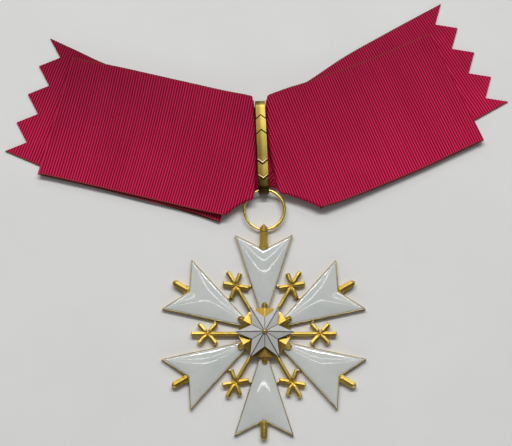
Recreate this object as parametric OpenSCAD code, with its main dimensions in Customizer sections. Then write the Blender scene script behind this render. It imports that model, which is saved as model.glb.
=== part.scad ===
// Neck badge of an order, lying face up: a six-armed enamelled cross with small gold asterisks,
// a raised white star, a jump ring, a long gold suspension loop and a folded neck ribbon.
// Units are millimetres. +X right, +Y towards the ribbon, +Z up. The origin is the middle of the
// flat back of the cross, which rests on the surface at z = 0.

/* [Cross] */
// Distance from the centre to the line that joins the two tips of an arm
tip_reach = 31.1; // [30.5:0.1:31.6]
// Half the distance between the two tips of an arm
tip_half = 9.0; // [8.8:0.1:9.2]
// Distance from the centre to the bottom of the notch in the arm's end
notch_reach = 26.6; // [26.2:0.1:27.0]
// Distance from the centre to the point where the sides of an arm would meet
arm_apex = 3.1; // [3.0:0.1:3.3]
// Thickness of the metal plate under the enamel
plate_t = 1.0; // [0.9:0.1:1.1]
// Height of the thin gold rim round the enamel
rim_h = 1.6; // [1.5:0.1:1.7]
// Width of the thin gold rim
rim_w = 0.3; // [0.25:0.05:0.35]
// Gap between one piece and the next
gap = 0.02; // [0.01:0.01:0.03]

/* [Rays] */
// Distance from the centre to the middle of each asterisk
asterisk_reach = 17.3; // [17.1:0.1:17.5]
// Length of the asterisk's outermost bar
asterisk_tip = 5.1; // [4.9:0.1:5.2]
// Length of the asterisk's four side bars
asterisk_side = 4.1; // [4.0:0.1:4.2]
// Angle of the side bars to the ray
asterisk_angle = 49; // [47:1:51]
// Width of the bars of the asterisk and its ray
bar_w = 1.5; // [1.3:0.1:1.6]
// Width of the bars that stand in the notches
notch_bar_w = 2.4; // [2.2:0.1:2.5]
// Distance from the centre to the outer end of the notch bars
notch_bar_reach = 32.6; // [32.2:0.1:33.0]

/* [Centre] */
// Distance from the centre to the flat sides of the gold boss
boss_apothem = 7.5; // [7.3:0.1:7.7]
// Distance from the centre to the rounded end of the small nubs on the boss
nub_reach = 9.5; // [9.3:0.1:9.7]
// Distance from the centre to the points of the white star
star_out = 9.1; // [8.9:0.1:9.3]
// Distance from the centre to the valleys of the white star
star_in = 4.5; // [4.3:0.1:4.7]
// Height of the middle of the white star above the surface
star_top = 6.2; // [6.0:0.1:6.4]

/* [Suspension] */
// Radius of the jump ring, to the middle of its wire
ring_r = 6.25; // [6.2:0.05:6.3]
// Diameter of the ring's wire
wire_d = 0.95; // [0.85:0.05:1.0]
// Length of the suspension loop along the badge
loop_len = 30.5; // [30.4:0.1:30.8]
// Width of the loop's band
loop_w = 3.2; // [3.0:0.1:3.3]
// Height of the loop without its raised plates
loop_h = 5.2; // [5.1:0.1:5.4]
// Thickness of the loop's band
loop_t = 0.9; // [0.8:0.05:0.95]

/* [Ribbon] */
// Thickness of the ribbon where it lies flat
ribbon_t = 1.0; // [1.0:0.02:1.1]
// Depth of the pinked teeth at the ribbon's ends
tooth = 5.4; // [5.0:0.1:5.6]

/* [Hidden] */

gold = [0.72, 0.58, 0.25];
white = [0.86, 0.87, 0.85];
crimson = [0.60, 0.10, 0.22];

// sides of an arm: half angle, and its sine and cosine
side_a = atan(tip_half / (tip_reach - arm_apex));
side_s = sin(side_a);
side_c = cos(side_a);
// the two edges of the notch run from the notch to the tips
notch_a = atan((tip_reach - notch_reach) / tip_half);

ring_y = 38.95;              // middle of the jump ring
ring_z = 1.6;                // height of the ring's wire in the lug
ring_tilt = 3.7;             // the ring rises a little towards the loop
lug_y = ring_y - ring_r;     // hole of the lug
lug_top = 34.3;              // pointed top of the lug
loop_x = -0.55;              // middle of the loop
loop_y = 58.7;
loop_turn = 2.4;             // the loop leans a little to the left
hub_r = 7.2;

boss_z0 = 2.25;              // underside of the boss and its nubs
boss_mid = 4.0;              // top of the boss, under the white star
boss_edge = 3.55;            // ridge at the flat sides
boss_corner = 2.5;           // corners between the ridges
boss_side = 3.0;             // half the straight part of a side
boss_notch = 7.75;           // notch at each corner
centre_shift = [0.25, 0.2, 0]; // the boss, star and pin sit a little off the middle
star_z0 = boss_mid + gap;
star_tip_z = 4.4;            // points of the star
star_valley_z = 4.7;         // valleys of the star
pin_r = 0.4;

// ---- arms ----------------------------------------------------------------------------------
// Outline of an arm along +X, moved in by d, its inner end at x0 or where the sides allow it.
function arm_outline(d, x0, inner_half = 0.12) =
    let (ax = arm_apex + d / side_s,
         xi = max(x0 + d, ax + inner_half / tan(side_a)),
         // notch edge: line through the notch with slope 1 / tan(notch_a), moved in by d
         nx = notch_reach - d / cos(notch_a),
         // tip: where the side line meets the notch edge
         tx = (nx - tan(notch_a) * ax * tan(side_a)) / (1 - tan(notch_a) * tan(side_a)),
         ty = (tx - ax) * tan(side_a))
    [[xi, -(xi - ax) * tan(side_a)], [tx, -ty], [nx, 0], [tx, ty],
     [xi, (xi - ax) * tan(side_a)]];

// Domed enamel: one row per ring, how far in from the edge and how high
dome_in = 0; dome_z = 1;
dome = [[0.00, 1.50],
        [0.25, 1.70],
        [0.70, 1.87],
        [1.30, 2.00],
        [2.20, 2.16],
        [3.40, 2.33]];

module enamel(k) {
    base = rim_w + gap;
    n = 5;
    m = len(dome);
    pts = concat(
        [for (p = arm_outline(base, 5.2)) [p[0], p[1], plate_t + gap]],
        [for (r = dome) for (p = arm_outline(base + r[dome_in], 5.2)) [p[0], p[1], r[dome_z]]]);
    walls = [for (r = [0:m - 1]) for (j = [0:n - 1])
        [r * n + j, (r + 1) * n + j, (r + 1) * n + (j + 1) % n, r * n + (j + 1) % n]];
    color(white) rotate([0, 0, 90 - 60 * (k - 1)])
        polyhedron(points = pts,
                   faces = concat([[for (j = [0:n - 1]) j]], walls,
                                  [[for (j = [n - 1:-1:0]) m * n + j]]));
}

// ---- ridged bars ---------------------------------------------------------------------------
// A bar along +X with a roof ridge, cut to a plan outline.
module ridged(plan, w, x0, x1, z0, z_side, z_ridge) {
    intersection() {
        translate([0, 0, z0]) linear_extrude(height = z_ridge - z0 + 1) polygon(plan);
        translate([x0, 0, 0]) rotate([90, 0, 90]) linear_extrude(height = x1 - x0)
            polygon([[-w / 2 - 0.5, z0], [w / 2 + 0.5, z0], [w / 2 + 0.5, z_side - 0.5 * (z_ridge - z_side) / (w / 2)],
                     [0, z_ridge], [-w / 2 - 0.5, z_side - 0.5 * (z_ridge - z_side) / (w / 2)]]);
    }
}

// bar of an asterisk: pointed at the middle, square at the outer end
module asterisk_bar(len) {
    h = bar_w / 2;
    ridged([[-0.15, -0.12], [1.5, -h], [len, -h], [len, h], [1.5, h], [-0.15, 0.12]],
           bar_w, -0.3, len + 0.1, 0.5, 1.5, 2.1);
}

module asterisk() {
    asterisk_bar(asterisk_tip);
    for (a = [asterisk_angle, -asterisk_angle, 180 - asterisk_angle, asterisk_angle - 180])
        rotate([0, 0, a]) asterisk_bar(asterisk_side);
    // low web that joins the bars under their pointed ends
    translate([0, 0, 0.5]) cylinder(h = 0.9, r = 0.9, $fn = 32);
}

module ray() {
    h = bar_w / 2;
    ridged([[hub_r - 1, -h], [asterisk_reach - 1.5, -h], [asterisk_reach + 0.15, -0.12],
            [asterisk_reach + 0.15, 0.12], [asterisk_reach - 1.5, h], [hub_r - 1, h]],
           bar_w, hub_r - 2, asterisk_reach + 0.3, 0.5, 1.5, 2.1);
    translate([asterisk_reach, 0, 0]) asterisk();
}

// solder stubs from an asterisk's inner side bars to the rims of the arms
module stubs() {
    for (s = [1, -1]) translate([asterisk_reach - 2.65, s * 3.05, 0.3]) rotate([0, 0, s * 60])
        translate([-0.1, -0.45, 0]) cube([1.6, 0.9, 0.9]);
}

// bar in the notch of an arm, with a small collar at its foot
module notch_bar(reach) {
    w = notch_bar_w;
    ridged([[notch_reach - 1.6, -w / 2], [reach - 0.7, -w / 2], [reach, 0],
            [reach - 0.7, w / 2], [notch_reach - 1.6, w / 2]],
           w, notch_reach - 2, reach + 0.1, 0.4, 1.7, 2.4);
    ridged([[notch_reach - 1.6, -1.9], [notch_reach + 0.9, -1.9], [notch_reach + 1.7, -w / 2],
            [notch_reach + 1.7, w / 2], [notch_reach + 0.9, 1.9], [notch_reach - 1.6, 1.9]],
           3.8, notch_reach - 2, notch_reach + 2, 0.4, 1.5, 2.6);
}

// suspension lug: a longer and higher notch bar, its sideways hole is cut in the frame
module lug() {
    ridged([[notch_reach - 1.6, -1.15], [lug_top - 0.9, -1.15], [lug_top, 0],
            [lug_top - 0.9, 1.15], [notch_reach - 1.6, 1.15]],
           2.3, notch_reach - 2, lug_top + 0.1, 0.1, 2.6, 3.1);
    ridged([[notch_reach - 1.6, -1.9], [notch_reach + 0.7, -1.9], [notch_reach + 1.6, -1.3],
            [notch_reach + 1.6, 1.3], [notch_reach + 0.7, 1.9], [notch_reach - 1.6, 1.9]],
           3.8, notch_reach - 2, notch_reach + 2, 0.15, 1.7, 2.9);
}

module cross_frame() {
    color(gold) difference() {
        union() {
            for (k = [0:5]) {
                rotate([0, 0, 30 + 60 * k]) linear_extrude(height = rim_h) polygon(arm_outline(0, 4.8));
                rotate([0, 0, 60 * k]) ray();
                rotate([0, 0, 60 * k]) stubs();
            }
            for (k = [0, 2, 3, 4, 5]) rotate([0, 0, 30 + 60 * k]) notch_bar(notch_bar_reach);
            rotate([0, 0, 90]) lug();
            cylinder(h = plate_t - 0.1, r = hub_r, $fn = 96);
        }
        // pockets for the enamel
        for (k = [0:5]) rotate([0, 0, 30 + 60 * k])
            translate([0, 0, plate_t]) linear_extrude(height = 5) polygon(arm_outline(rim_w, 4.4));
        // hole of the lug
        translate([-3, lug_y, ring_z]) rotate([0, 90, 0]) cylinder(h = 6, r = wire_d / 2 + 0.2, $fn = 48);
        // hole of the pin
        translate(centre_shift + [0, 0, -1]) cylinder(h = 9, r = pin_r + gap, $fn = 48);
    }
}

// ---- middle --------------------------------------------------------------------------------
module centre_boss() {
    rim = [for (k = [0:5]) each [for (q = [
        [boss_apothem, -boss_side, 30, boss_corner],
        [boss_apothem + 0.08, 0, 30, boss_edge],
        [boss_apothem, boss_side, 30, boss_corner],
        [boss_notch, 0, 60, boss_corner]])
        let (a = q[2] + 60 * k)
        [q[0] * cos(a) - q[1] * sin(a), q[0] * sin(a) + q[1] * cos(a), q[3]]]];
    n = len(rim);
    top = concat([[0, 0, boss_mid]], rim);
    low = [for (p = top) [p[0], p[1], boss_z0]];
    // the first n + 1 points are the top, the rest the underside
    faces = concat(
        [for (j = [0:n - 1]) [0, 1 + (j + 1) % n, 1 + j]],
        [for (j = [0:n - 1]) [1 + j, 1 + (j + 1) % n, n + 2 + (j + 1) % n, n + 2 + j]],
        [for (j = [0:n - 1]) [n + 1, n + 2 + j, n + 2 + (j + 1) % n]]);
    translate(centre_shift) color(gold) difference() {
        union() {
            polyhedron(points = concat(top, low), faces = faces);
            for (k = [0:5]) rotate([0, 0, 30 + 60 * k]) translate([0, 0, boss_z0 + 0.01]) intersection() {
                linear_extrude(height = 1.3) {
                    translate([nub_reach - 1, 0]) circle(r = 1, $fn = 48);
                    translate([boss_apothem - 1.5, -0.98]) square([nub_reach - boss_apothem + 0.5, 1.96]);
                }
                translate([boss_apothem - 2, 0, 0]) rotate([90, 0, 90]) linear_extrude(height = 5)
                    polygon([[-1.2, -0.2], [1.2, -0.2], [1.2, 0.36], [0, 1.06], [-1.2, 0.36]]);
            }
            translate([0, 0, plate_t - 0.1 + gap]) cylinder(h = 2, r = 3.6, $fn = 96);
        }
        translate([0, 0, -1]) cylinder(h = 9, r = pin_r + gap, $fn = 48);
    }
}

module centre_star() {
    top = concat([[0, 0, star_top]],
        [for (k = [0:5]) each [[star_out * cos(60 * k), star_out * sin(60 * k), star_tip_z],
                               [star_in * cos(60 * k + 30), star_in * sin(60 * k + 30), star_valley_z]]]);
    low = [for (p = top) [p[0], p[1], star_z0]];
    // points 0..12 are the top, 13..25 the underside
    faces = concat(
        [for (j = [0:11]) [0, 1 + (j + 1) % 12, 1 + j]],
        [for (j = [0:11]) [1 + j, 1 + (j + 1) % 12, 14 + (j + 1) % 12, 14 + j]],
        [[for (j = [0:11]) 14 + j]]);
    translate(centre_shift) color(white) difference() {
        polyhedron(points = concat(top, low), faces = faces);
        translate([0, 0, -1]) cylinder(h = 9, r = pin_r + gap, $fn = 48);
    }
}

// pin through the star, the boss and the cross, with a small round head
module centre_pin() {
    head_z = star_top + 0.5;
    translate(centre_shift) color(gold) {
        translate([0, 0, 0.1]) cylinder(h = head_z - 0.1, r = pin_r, $fn = 48);
        translate([0, 0, head_z]) sphere(r = 0.62, $fn = 48);
    }
}

// ---- suspension ----------------------------------------------------------------------------
module jump_ring() {
    color(gold) translate([0.15, lug_y, ring_z]) rotate([ring_tilt, 0, 0]) translate([0, ring_r, 0])
        rotate_extrude($fn = 128) translate([ring_r, 0]) circle(d = wire_d, $fn = 32);
}

// stadium along Y in the YZ plane, drawn as X = along, Y = height
module stadium(len, h) {
    translate([-(len - h) / 2, 0]) circle(d = h, $fn = 64);
    translate([(len - h) / 2, 0]) circle(d = h, $fn = 64);
    translate([-(len - h) / 2, -h / 2]) square([len - h, h]);
}

// raised plate with pointed ends and a ridge, along Y
module loop_plate(len, z0, z_side, z_ridge) {
    w = loop_w - 0.1;
    s = len / 2 - 1.3;
    intersection() {
        translate([0, 0, z0]) linear_extrude(height = z_ridge - z0 + 0.5)
            polygon([[0, -len / 2], [w / 2, -s], [w / 2, s], [0, len / 2], [-w / 2, s], [-w / 2, -s]]);
        translate([0, len / 2 + 1, 0]) rotate([90, 0, 0]) linear_extrude(height = len + 2)
            polygon([[-w / 2, z0], [w / 2, z0], [w / 2, z_side], [0, z_ridge], [-w / 2, z_side]]);
    }
}

module suspension_loop() {
    color(gold) translate([loop_x, loop_y, 0]) rotate([0, 0, loop_turn]) {
        translate([-loop_w / 2, 0, loop_h / 2]) rotate([90, 0, 90]) linear_extrude(height = loop_w)
            difference() {
                stadium(loop_len, loop_h);
                stadium(loop_len - 2 * loop_t, loop_h - 2 * loop_t);
            }
        // the two stacked plates of the front
        translate([0, -0.4, 0]) loop_plate(20.4, loop_h - 0.3, loop_h + 0.1, loop_h + 0.35);
        translate([0, -0.4, 0]) loop_plate(10.6, loop_h - 0.3, loop_h + 0.35, loop_h + 0.6);
    }
}

// ---- ribbon --------------------------------------------------------------------------------
// One strip, folded twice on each side. Each row is a line across the ribbon, from its upper edge
// to its lower edge, seen from above. heading is the direction of travel, in a plane across that
// line: 0 runs outwards, -180 back inwards, and -90 stands at a fold.
xu = 0; yu = 1; xl = 2; yl = 3; zc = 4; heading = 5; thick = 6;
z_front = 2.85; z_mid = 1.68; z_rear = 0.51;   // the three layers
fold_r = (z_front - z_mid) / 2;

// left side, from the loop outwards
left_front = [
    [ -3.2, 71.8,  -2.2, 46.7, 3.15, 0, 1.5],
    [ -3.9, 74.8,  -3.5, 45.1, 3.40, 0, 1.1],
    [ -5.2, 75.6,  -8.8, 40.9, 3.35, 0, 1.1],
    [ -8.4, 76.3, -14.9, 37.2, 3.05, 0, 1.0],
    [-29.6, 81.4, -38.7, 43.0, 2.85, 0, 1.0]];
left_outer_fold = [-60.0, 88.0, -69.8, 50.3];
left_mid = [
    [-34.0, 81.6, -42.0, 43.2, z_mid, -180, 1.0]];
left_inner_fold = [ -6.2, 74.6, -14.6, 36.0];
left_rear = [
    [-30.0, 80.2, -41.0, 44.6, z_rear, 0, 1.0],
    [-48.6, 86.2, -59.2, 48.9, z_rear, 0, 1.0],
    [-61.8, 92.0, -75.0, 55.6, z_rear, 0, 1.0]];
left_end = [-68.3, 95.4, -81.7, 58.2, z_rear, 0, 1.0];

// right side, from the loop outwards
right_front = [
    [  1.0, 71.8,   2.2, 46.7, 3.15, 0, 1.5],
    [  1.7, 74.8,   4.4, 45.3, 3.40, 0, 1.1],
    [  3.2, 76.2,   9.0, 43.4, 3.35, 0, 1.1],
    [  7.8, 78.0,  20.2, 40.2, 3.05, 0, 1.0],
    [ 33.8, 87.8,  47.6, 51.3, 2.85, 0, 1.0]];
right_outer_fold = [52.6, 96.0, 68.6, 61.2];
right_mid = [
    [ 30.0, 86.3,  44.6, 50.4, z_mid, -180, 1.0]];
right_inner_fold = [ 6.2, 76.2, 18.6, 40.2];
right_rear = [
    [ 14.1, 81.0,  31.0, 46.4, z_rear, 0, 1.0],
    [ 25.7, 89.1,  46.0, 56.4, z_rear, 0, 1.0],
    [ 37.3, 96.0,  57.4, 63.0, z_rear, 0, 1.0],
    [ 50.9, 103.6, 71.6, 71.0, z_rear, 0, 1.0]];
right_end = [57.0, 107.0, 77.6, 74.5, z_rear, 0, 1.0];

loop_row = [-1.1, 71.8, 0.0, 46.7, 3.1, 0, 1.6];

columns = 8;   // four teeth gaps, five tips

// rows that turn through half a circle at a fold
function fold_rows(f, z0, from, to) =
    [for (h = [from : (to - from) / 4 : to]) [f[0], f[1], f[2], f[3], z0, h, 1.0, 1]];

// side = -1 for the left, 1 for the right: unit vector that points outwards across a row
function outward(r, side) =
    let (u = [r[xl] - r[xu], r[yl] - r[yu]], n = norm(u)) side * [-u[1], u[0]] / n;

// a row becomes its two rows of points: above and below the middle of the cloth
function row_points(r, side, up, pink = 0) =
    let (o = outward(r, side), h = r[heading], t = r[thick] * ribbon_t,
         turn = len(r) > 7 ? (h > -181 && r[7] == 1 ? 1 : -1) : 0,
         shift = turn * fold_r,
         ox = -sin(h) * (shift + up * t / 2),
         oz = cos(h) * (shift + up * t / 2))
    [for (j = [0:columns])
        let (f = j / columns, back = pink * (j % 2 == 1 ? -tooth : 0))
        [r[xu] + (r[xl] - r[xu]) * f + o[0] * (ox + back),
         r[yu] + (r[yl] - r[yu]) * f + o[1] * (ox + back),
         r[zc] + oz]];

function mid_rows(f, from, to) = fold_rows(f, (z_front + z_mid) / 2, from, to);
function low_rows(f) =
    [for (h = [-180 : 45 : 0]) [f[0], f[1], f[2], f[3], (z_mid + z_rear) / 2, h, 1.0, -1]];

function side_rows(front, outer, mid, inner, rear) =
    concat(front, mid_rows(outer, 0, -180), mid, low_rows(inner), rear);

left_rows = side_rows(left_front, left_outer_fold, left_mid, left_inner_fold, left_rear);
right_rows = side_rows(right_front, right_outer_fold, right_mid, right_inner_fold, right_rear);

function reversed(a) = [for (i = [len(a) - 1 : -1 : 0]) a[i]];

// every row of points from the left end to the right end
function strip(up) = concat(
    [row_points(left_end, -1, up, 1)],
    [for (r = reversed(left_rows)) row_points(r, -1, up)],
    [row_points(loop_row, 1, up)],
    [for (r = right_rows) row_points(r, 1, up)],
    [row_points(right_end, 1, up, 1)]);

module ribbon() {
    top = strip(1);
    low = strip(-1);
    n = columns + 1;
    m = len(top);
    pts = concat([for (r = top) each r], [for (r = low) each r]);
    b = m * n;
    faces = concat(
        [for (i = [0:m - 2]) for (j = [0:n - 2]) each
            [[i * n + j, i * n + j + 1, (i + 1) * n + j + 1],
             [i * n + j, (i + 1) * n + j + 1, (i + 1) * n + j]]],
        [for (i = [0:m - 2]) for (j = [0:n - 2]) each
            [[b + i * n + j, b + (i + 1) * n + j + 1, b + i * n + j + 1],
             [b + i * n + j, b + (i + 1) * n + j, b + (i + 1) * n + j + 1]]],
        [for (i = [0:m - 2]) each
            [[i * n, (i + 1) * n, b + (i + 1) * n], [i * n, b + (i + 1) * n, b + i * n]]],
        [for (i = [0:m - 2]) each
            [[i * n + n - 1, b + (i + 1) * n + n - 1, (i + 1) * n + n - 1],
             [i * n + n - 1, b + i * n + n - 1, b + (i + 1) * n + n - 1]]],
        [for (j = [0:n - 2]) each
            [[j, b + j + 1, j + 1], [j, b + j, b + j + 1]]],
        [for (j = [0:n - 2]) each let (i = (m - 1) * n)
            [[i + j, i + j + 1, b + i + j + 1], [i + j, b + i + j + 1, b + i + j]]]);
    color(crimson) polyhedron(points = pts, faces = [for (f = faces) [f[2], f[1], f[0]]]);
}

cross_frame();
enamel(1);  // enamel_arm_1
enamel(2);  // enamel_arm_2
enamel(3);  // enamel_arm_3
enamel(4);  // enamel_arm_4
enamel(5);  // enamel_arm_5
enamel(6);  // enamel_arm_6
centre_boss();
centre_star();
centre_pin();
jump_ring();
suspension_loop();
ribbon();
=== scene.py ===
import bpy
import math
from mathutils import Vector, Matrix, noise


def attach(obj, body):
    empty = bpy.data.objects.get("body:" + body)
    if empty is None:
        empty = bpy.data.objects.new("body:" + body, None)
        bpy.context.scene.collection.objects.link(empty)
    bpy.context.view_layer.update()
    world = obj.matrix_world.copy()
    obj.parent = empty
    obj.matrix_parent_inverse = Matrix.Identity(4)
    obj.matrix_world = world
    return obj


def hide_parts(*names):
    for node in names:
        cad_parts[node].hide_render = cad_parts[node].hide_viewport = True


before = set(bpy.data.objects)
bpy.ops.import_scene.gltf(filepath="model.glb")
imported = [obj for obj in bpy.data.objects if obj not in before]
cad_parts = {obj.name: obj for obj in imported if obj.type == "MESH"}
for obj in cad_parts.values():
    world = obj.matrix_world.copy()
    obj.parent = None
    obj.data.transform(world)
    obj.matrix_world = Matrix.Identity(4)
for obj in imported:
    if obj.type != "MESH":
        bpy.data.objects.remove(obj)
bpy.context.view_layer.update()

MM = 0.001
D2R = math.pi / 180
scene = bpy.context.scene

# ---------------------------------------------------------------- camera
# The photograph looks almost straight down, from slightly below the badge.
CAM_ELEV, CAM_DIST = 78.0, 500.0
CAM_AIM = (-2.416, 35.123, 0.0)
cam_data = bpy.data.cameras.new("camera")
cam = bpy.data.objects.new("camera", cam_data)
scene.collection.objects.link(cam)
ce, se = math.cos(CAM_ELEV * D2R), math.sin(CAM_ELEV * D2R)
cam.location = ((CAM_AIM[0]) * MM, (CAM_AIM[1] - CAM_DIST * ce) * MM, CAM_DIST * se * MM)
cam.rotation_euler = ((90 - CAM_ELEV) * D2R, 0, 0)
cam_data.sensor_width = 36
cam_data.lens = 112.5
cam_data.clip_start, cam_data.clip_end = 0.01, 10
scene.camera = cam


# ---------------------------------------------------------------- small helpers
def new_object(name, verts, faces, materials, smooth=False, slots=None, unit=MM):
    me = bpy.data.meshes.new(name)
    me.from_pydata([(v[0] * unit, v[1] * unit, v[2] * unit) for v in verts], [], faces)
    me.validate()
    ob = bpy.data.objects.new(name, me)
    scene.collection.objects.link(ob)
    for m in materials:
        me.materials.append(m)
    if slots is not None:
        for p, s in zip(me.polygons, slots):
            p.material_index = s
    for p in me.polygons:
        p.use_smooth = smooth
    return ob


def outward(ob):
    """Turns every face outwards."""
    import bmesh
    bm = bmesh.new()
    bm.from_mesh(ob.data)
    bmesh.ops.recalc_face_normals(bm, faces=bm.faces)
    bm.to_mesh(ob.data)
    bm.free()


def bevel(ob, width, segments=2, angle=25):
    m = ob.modifiers.new("soft_edges", "BEVEL")
    m.width = width * MM
    m.segments = segments
    m.limit_method = "ANGLE"
    m.angle_limit = angle * D2R
    m.harden_normals = False
    m.miter_outer = "MITER_ARC"
    ob.data.polygons.foreach_set("use_smooth", [True] * len(ob.data.polygons))
    # the wide faces keep their own direction, and only the narrow bevels turn
    e = ob.modifiers.new("even_faces", "WEIGHTED_NORMAL")
    e.mode = "FACE_AREA"
    e.weight = 50
    e.keep_sharp = True
    return m


def apply_modifiers(ob):
    dg = bpy.context.evaluated_depsgraph_get()
    me = bpy.data.meshes.new_from_object(ob.evaluated_get(dg), preserve_all_data_layers=True, depsgraph=dg)
    old = ob.data
    ob.modifiers.clear()
    ob.data = me
    bpy.data.meshes.remove(old)


def smooth_by_angle(ob, angle):
    """Smooth shading with the edges sharper than the angle kept sharp."""
    me = ob.data
    me.polygons.foreach_set("use_smooth", [True] * len(me.polygons))
    me.set_sharp_from_angle(angle=angle * D2R)


def smoothstep(a, b, x):
    t = min(1.0, max(0.0, (x - a) / (b - a)))
    return t * t * (3 - 2 * t)


def mix(a, b, t):
    return a + (b - a) * t


# ---------------------------------------------------------------- node helpers
class Tree:
    def __init__(self, name):
        self.mat = bpy.data.materials.new(name)
        self.mat.use_nodes = True
        self.nt = self.mat.node_tree
        self.bsdf = self.nt.nodes["Principled BSDF"]

    def node(self, kind, **props):
        n = self.nt.nodes.new(kind)
        for k, v in props.items():
            setattr(n, k, v)
        return n

    def link(self, a, b):
        self.nt.links.new(a, b)

    def math(self, op, a, b=None, c=None, clamp=False):
        n = self.node("ShaderNodeMath", operation=op, use_clamp=clamp)
        for i, v in enumerate((a, b, c)):
            if v is None:
                continue
            if isinstance(v, (int, float)):
                n.inputs[i].default_value = v
            else:
                self.link(v, n.inputs[i])
        return n.outputs[0]

    def coords(self):
        return self.node("ShaderNodeTexCoord").outputs["Object"]

    def noise(self, scale, detail=3.0, rough=0.5, vec=None, distortion=0.0):
        n = self.node("ShaderNodeTexNoise")
        n.inputs["Scale"].default_value = scale
        n.inputs["Detail"].default_value = detail
        n.inputs["Roughness"].default_value = rough
        n.inputs["Distortion"].default_value = distortion
        self.link(vec if vec is not None else self.coords(), n.inputs["Vector"])
        return n.outputs["Fac"]

    def ramp(self, fac, stops, interp="LINEAR"):
        n = self.node("ShaderNodeValToRGB")
        n.color_ramp.interpolation = interp
        el = n.color_ramp.elements
        while len(el) > 1:
            el.remove(el[-1])
        el[0].position, el[0].color = stops[0][0], (*stops[0][1], 1)
        for pos, col in stops[1:]:
            e = el.new(pos)
            e.color = (*col, 1)
        self.link(fac, n.inputs["Fac"])
        return n.outputs["Color"]

    def map(self, v, a, b, c, d):
        n = self.node("ShaderNodeMapRange")
        n.inputs["From Min"].default_value = a
        n.inputs["From Max"].default_value = b
        n.inputs["To Min"].default_value = c
        n.inputs["To Max"].default_value = d
        self.link(v, n.inputs["Value"])
        return n.outputs["Result"]

    def mixrgb(self, fac, a, b, blend="MIX"):
        n = self.node("ShaderNodeMix", data_type="RGBA", blend_type=blend)
        for key, v in ((0, fac), (6, a), (7, b)):
            if isinstance(v, (int, float)):
                n.inputs[key].default_value = v
            elif isinstance(v, tuple):
                n.inputs[key].default_value = (*v, 1)
            else:
                self.link(v, n.inputs[key])
        return n.outputs[2]

    def bump(self, height, distance, strength=1.0, normal=None):
        n = self.node("ShaderNodeBump")
        n.inputs["Strength"].default_value = strength
        n.inputs["Distance"].default_value = distance
        self.link(height, n.inputs["Height"])
        if normal is not None:
            self.link(normal, n.inputs["Normal"])
        return n.outputs["Normal"]

    def scaled(self, vec, s):
        n = self.node("ShaderNodeMapping")
        n.inputs["Scale"].default_value = s
        self.link(vec, n.inputs["Vector"])
        return n.outputs["Vector"]


# ---------------------------------------------------------------- materials
def gilt(name, light, dark, rough=(0.26, 0.40), streak=(1, 1, 1), streak_scale=900.0, grain=0.00000008, tarnish=0.35, coat=0.3):
    """Gilt metal: colour shifts slowly, roughness varies, and fine brush marks show."""
    t = Tree(name)
    co = t.coords()
    slow = t.noise(120.0, 2.0, 0.5, co)
    fine = t.noise(streak_scale, 2.0, 0.5, t.scaled(co, streak))
    tone = t.math("ADD", t.math("MULTIPLY", slow, 0.80), t.math("MULTIPLY", fine, 0.20))
    col = t.ramp(tone, [(0.36, dark), (0.60, light)])
    worn = t.map(t.noise(260.0, 2.0, 0.5, co), 0.60, 0.82, 0.0, tarnish)
    col = t.mixrgb(worn, col, tuple(c * 0.6 for c in dark))
    t.link(col, t.bsdf.inputs["Base Color"])
    t.bsdf.inputs["Metallic"].default_value = 1.0
    r = t.map(t.math("ADD", t.math("MULTIPLY", fine, 0.5), t.math("MULTIPLY", slow, 0.5)), 0.35, 0.65, rough[0], rough[1])
    t.link(r, t.bsdf.inputs["Roughness"])
    t.bsdf.inputs["Coat Weight"].default_value = coat
    t.bsdf.inputs["Coat Roughness"].default_value = 0.22
    t.link(t.bump(fine, grain, 1.0), t.bsdf.inputs["Normal"])
    return t


GOLD_LIGHT = (0.88, 0.64, 0.145)
GOLD_DARK = (0.70, 0.45, 0.065)
gold_bars = gilt("gilt_bars", GOLD_LIGHT, GOLD_DARK, (0.30, 0.37), tarnish=0.15).mat
gold_rim = gilt("gilt_rims", (0.56, 0.42, 0.15), (0.36, 0.25, 0.07), (0.26, 0.38), tarnish=0.4).mat
gold_boss = gilt("gilt_boss", (0.68, 0.455, 0.10), (0.54, 0.33, 0.05), (0.36, 0.46), tarnish=0.2).mat
gold_ring = gilt("gilt_ring", (0.88, 0.67, 0.18), (0.78, 0.56, 0.11), (0.26, 0.32), tarnish=0.08).mat
gold_back = gilt("gilt_back", (0.62, 0.46, 0.17), (0.46, 0.32, 0.10), (0.35, 0.5), tarnish=0.4).mat


def loop_material_painted_shade(name, light, dark, rough):
    """Brushed gilt of the loop, with painted shade that darkens it towards its lower end and on its left side."""
    t = gilt(name, light, dark, rough, streak=(3.2, 0.35, 3.2), streak_scale=800.0, tarnish=0.35, coat=0.15)
    sep = t.node("ShaderNodeSeparateXYZ")
    t.link(t.coords(), sep.inputs[0])
    x, y = sep.outputs[0], sep.outputs[1]
    # painted shade along the loop: darker towards its lower end, untouched at its upper end
    wander = t.math("MULTIPLY", t.noise(160.0, 2.0, 0.5, t.coords()), 0.0016)
    along = t.map(t.math("ADD", y, wander), 0.0448, 0.0758, 0.0, 1.0)
    tone = t.ramp(along, [(0.06, (0.14, 0.11, 0.07)), (0.115, (0.15, 0.13, 0.09)), (0.175, (0.55, 0.53, 0.45)),
                          (0.26, (0.66, 0.65, 0.58)), (0.37, (0.42, 0.41, 0.36)), (0.47, (0.56, 0.56, 0.52)),
                          (0.60, (0.80, 0.80, 0.78)), (0.72, (1.0, 1.0, 1.0))])
    # painted shade on the loop's left side
    across = t.math("ADD", x, t.math("MULTIPLY_ADD", y, 0.0419, 0.00055 - 0.0419 * 0.0587))
    side = t.map(across, -0.0006, 0.0004, 0.0, 1.0)
    left_side_painted_shade = t.mixrgb(side, (0.48, 0.46, 0.40), (1.0, 1.0, 0.96))
    for link in list(t.bsdf.inputs["Base Color"].links):
        col = link.from_socket
    col = t.mixrgb(1.0, col, tone, "MULTIPLY")
    col = t.mixrgb(1.0, col, left_side_painted_shade, "MULTIPLY")
    t.link(col, t.bsdf.inputs["Base Color"])
    return t.mat


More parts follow.
